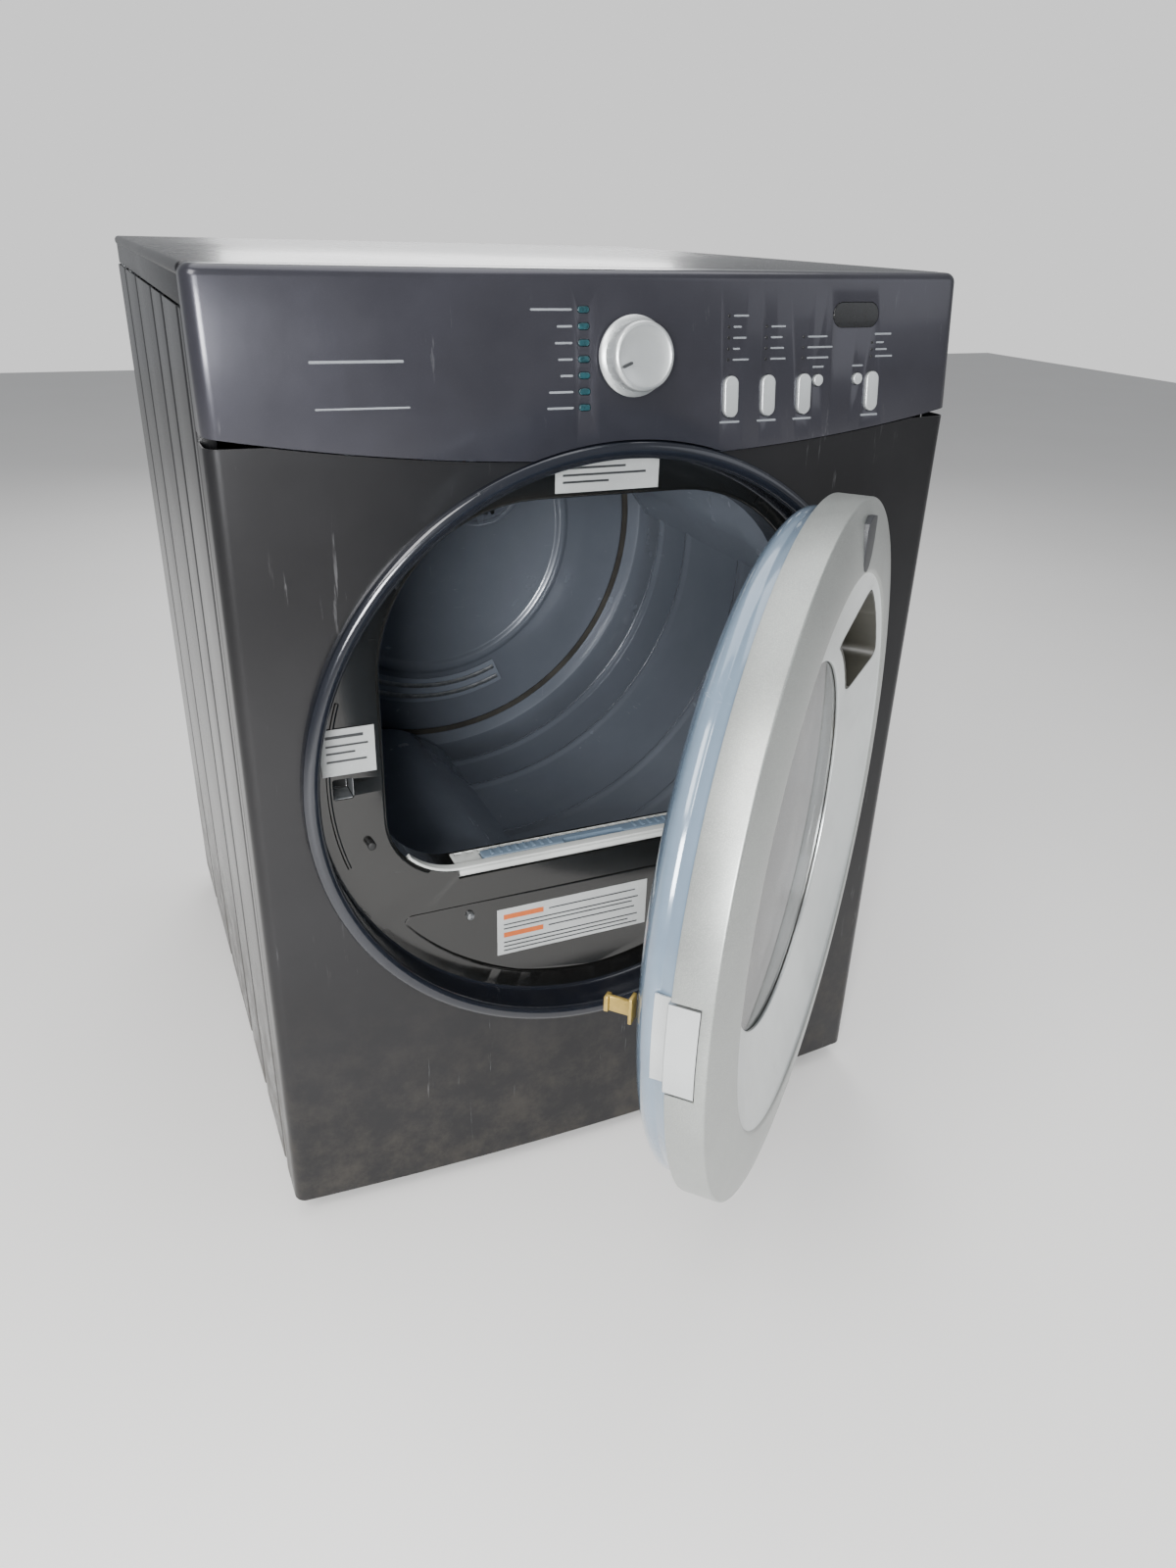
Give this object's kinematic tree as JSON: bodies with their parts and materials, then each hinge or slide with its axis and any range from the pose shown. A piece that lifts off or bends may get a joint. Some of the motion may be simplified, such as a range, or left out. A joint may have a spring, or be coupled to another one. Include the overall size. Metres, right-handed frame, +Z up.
{
  "type": "clothes dryer",
  "caption": "Full-size front-loading clothes dryer in graphite with a round silver door standing open on its right-hand hinge and a leaning control console",
  "frame": {"origin": "on the floor, under the middle of the box that holds the dryer with its door open", "axes": "+X to the right seen from the front, +Y from the front to the rear, +Z up"},
  "size_m": [0.686, 1.187, 0.914],
  "materials": {
    "cabinet_paint": "gloss",
    "bulkhead_paint": "gloss",
    "drum_paint": "gloss",
    "galvanised_steel": "satin",
    "zinc_steel": "satin",
    "bright_aluminium": "satin",
    "silver_plastic": "gloss",
    "silver_metal": "satin",
    "liner_plastic": "gloss",
    "cup_plastic": "matte",
    "black_plastic": "matte",
    "duct_plastic": "matte",
    "mesh_fabric": "matte",
    "felt": "matte",
    "window_glass": "gloss",
    "lens_plastic": "gloss",
    "board": "matte",
    "heater_wire": "satin",
    "terminal_plastic": "matte",
    "belt_rubber": "matte"
  },
  "bodies": {
    "cabinet": {"base_pan": "galvanised_steel", "left_side_panel": "cabinet_paint", "right_side_panel": "cabinet_paint", "rear_panel": "galvanised_steel", "top_panel": "cabinet_paint", "front_panel": "cabinet_paint", "control_panel": "cabinet_paint", "control_board": "board", "console_lenses": "lens_plastic", "front_bulkhead": "bulkhead_paint", "latch_catch": "zinc_steel", "door_switch": "black_plastic", "front_seal": "felt", "sill_grille": "silver_plastic", "lint_duct": "duct_plastic", "rear_bulkhead": "drum_paint", "rear_seal": "felt", "moisture_sensor": "galvanised_steel", "heater_housing": "galvanised_steel", "heater_element": "heater_wire", "blower_housing": "duct_plastic", "exhaust_duct": "galvanised_steel", "motor_housing": "galvanised_steel", "motor_cradle": "galvanised_steel", "idler_spring": "galvanised_steel", "drive_belt": "belt_rubber", "terminal_block": "terminal_plastic", "terminal_cover": "galvanised_steel", "cabinet_fasteners": "zinc_steel", "hinge_bracket": "zinc_steel"},
    "door": {"door_ring": "silver_metal", "door_window": "window_glass", "door_liner": "liner_plastic", "handle_cups": "cup_plastic", "hinge_hole_cover": "silver_plastic", "door_strike": "zinc_steel", "hinge_leaf": "zinc_steel"},
    "drum": {"drum_shell": "drum_paint", "drum_baffles": "liner_plastic"},
    "rotor": {"motor_shaft": "galvanised_steel", "blower_wheel": "bright_aluminium"},
    "idler": {"idler_arm": "zinc_steel"},
    "idler_wheel": {"idler_pulley": "duct_plastic"},
    "roller_left": {"left_roller": "belt_rubber"},
    "roller_right": {"right_roller": "belt_rubber"},
    "knob": {"cycle_knob": "silver_plastic"},
    "temperature": {"temperature_button": "silver_plastic"},
    "dryness": {"dryness_button": "silver_plastic"},
    "options": {"options_button": "silver_plastic"},
    "start": {"start_button": "silver_plastic"},
    "select": {"select_button": "silver_plastic"},
    "cancel": {"cancel_button": "silver_plastic"},
    "lint_filter": {"lint_filter_frame": "liner_plastic", "lint_filter_mesh": "mesh_fabric"},
    "plunger": {"switch_plunger": "silver_plastic"},
    "foot_fl": {"front_left_foot": "black_plastic"},
    "foot_fr": {"front_right_foot": "black_plastic"},
    "foot_rl": {"rear_left_foot": "black_plastic"},
    "foot_rr": {"rear_right_foot": "black_plastic"}
  },
  "joints": [
    {"name": "door_hinge", "type": "hinge", "parent": "cabinet", "child": "door", "pos_m": [0.262, -0.21, 0.485], "axis": [0, 0, 1], "range_deg": [-43, 68]},
    {"name": "drum_spin", "type": "hinge", "parent": "cabinet", "child": "drum", "pos_m": [0, 0.16, 0.557], "axis": [0, 1, 0], "continuous": true},
    {"name": "motor_spin", "type": "hinge", "parent": "cabinet", "child": "rotor", "pos_m": [-0.12, 0.08, 0.13], "axis": [0, 1, 0], "continuous": true},
    {"name": "left_roller_spin", "type": "hinge", "parent": "cabinet", "child": "roller_left", "pos_m": [-0.19252, 0.409, 0.2489], "axis": [0, 1, 0], "continuous": true},
    {"name": "right_roller_spin", "type": "hinge", "parent": "cabinet", "child": "roller_right", "pos_m": [0.19252, 0.409, 0.2489], "axis": [0, 1, 0], "continuous": true},
    {"name": "idler_pivot", "type": "hinge", "parent": "cabinet", "child": "idler", "pos_m": [-0.236, 0.185, 0.092], "axis": [0, 1, 0], "range_deg": [-6, 0], "stiffness_Nm_per_rad": 3, "springref_deg": 17.19, "deforming": ["idler_spring"]},
    {"name": "idler_spin", "type": "hinge", "parent": "idler", "child": "idler_wheel", "pos_m": [-0.19414, 0.202, 0.18452], "axis": [0, 1, 0], "continuous": true},
    {"name": "knob_turn", "type": "hinge", "parent": "cabinet", "child": "knob", "pos_m": [0, -0.17815, 0.85], "axis": [0, -0.994, 0.1097], "continuous": true},
    {"name": "temperature_press", "type": "slide", "parent": "cabinet", "child": "temperature", "axis": [-0.0222, 0.9937, -0.1097], "range_m": [0, 0.0015], "stiffness_N_per_m": 500, "springref_m": -0.001},
    {"name": "dryness_press", "type": "slide", "parent": "cabinet", "child": "dryness", "axis": [-0.0312, 0.9935, -0.1097], "range_m": [0, 0.0015], "stiffness_N_per_m": 500, "springref_m": -0.001},
    {"name": "options_press", "type": "slide", "parent": "cabinet", "child": "options", "axis": [-0.0402, 0.9931, -0.1097], "range_m": [0, 0.0015], "stiffness_N_per_m": 500, "springref_m": -0.001},
    {"name": "start_press", "type": "slide", "parent": "cabinet", "child": "start", "axis": [-0.0581, 0.9923, -0.1097], "range_m": [0, 0.0015], "stiffness_N_per_m": 500, "springref_m": -0.001},
    {"name": "select_press", "type": "slide", "parent": "cabinet", "child": "select", "axis": [-0.0437, 0.993, -0.1097], "range_m": [0, 0.0015], "stiffness_N_per_m": 500, "springref_m": -0.001},
    {"name": "cancel_press", "type": "slide", "parent": "cabinet", "child": "cancel", "axis": [-0.0541, 0.9925, -0.1097], "range_m": [0, 0.0015], "stiffness_N_per_m": 500, "springref_m": -0.001},
    {"name": "lint_filter_lift", "type": "slide", "parent": "cabinet", "child": "lint_filter", "axis": [0, 0, 1], "range_m": [0, 0.32]},
    {"name": "switch_press", "type": "slide", "parent": "cabinet", "child": "plunger", "axis": [0, 1, 0], "range_m": [0, 0.004], "stiffness_N_per_m": 200, "springref_m": -0.002},
    {"name": "foot_fl_screw", "type": "slide", "parent": "cabinet", "child": "foot_fl", "axis": [0, 0, 1], "range_m": [-0.02, 0]},
    {"name": "foot_fr_screw", "type": "slide", "parent": "cabinet", "child": "foot_fr", "axis": [0, 0, 1], "range_m": [-0.02, 0]},
    {"name": "foot_rl_screw", "type": "slide", "parent": "cabinet", "child": "foot_rl", "axis": [0, 0, 1], "range_m": [-0.02, 0]},
    {"name": "foot_rr_screw", "type": "slide", "parent": "cabinet", "child": "foot_rr", "axis": [0, 0, 1], "range_m": [-0.02, 0]}
  ],
  "couplings": [
    {"joint": "motor_spin", "follows": "drum_spin", "ratio": 32.5},
    {"joint": "left_roller_spin", "follows": "drum_spin", "ratio": -8.5526},
    {"joint": "right_roller_spin", "follows": "drum_spin", "ratio": -8.5526},
    {"joint": "idler_spin", "follows": "drum_spin", "ratio": -13}
  ]
}
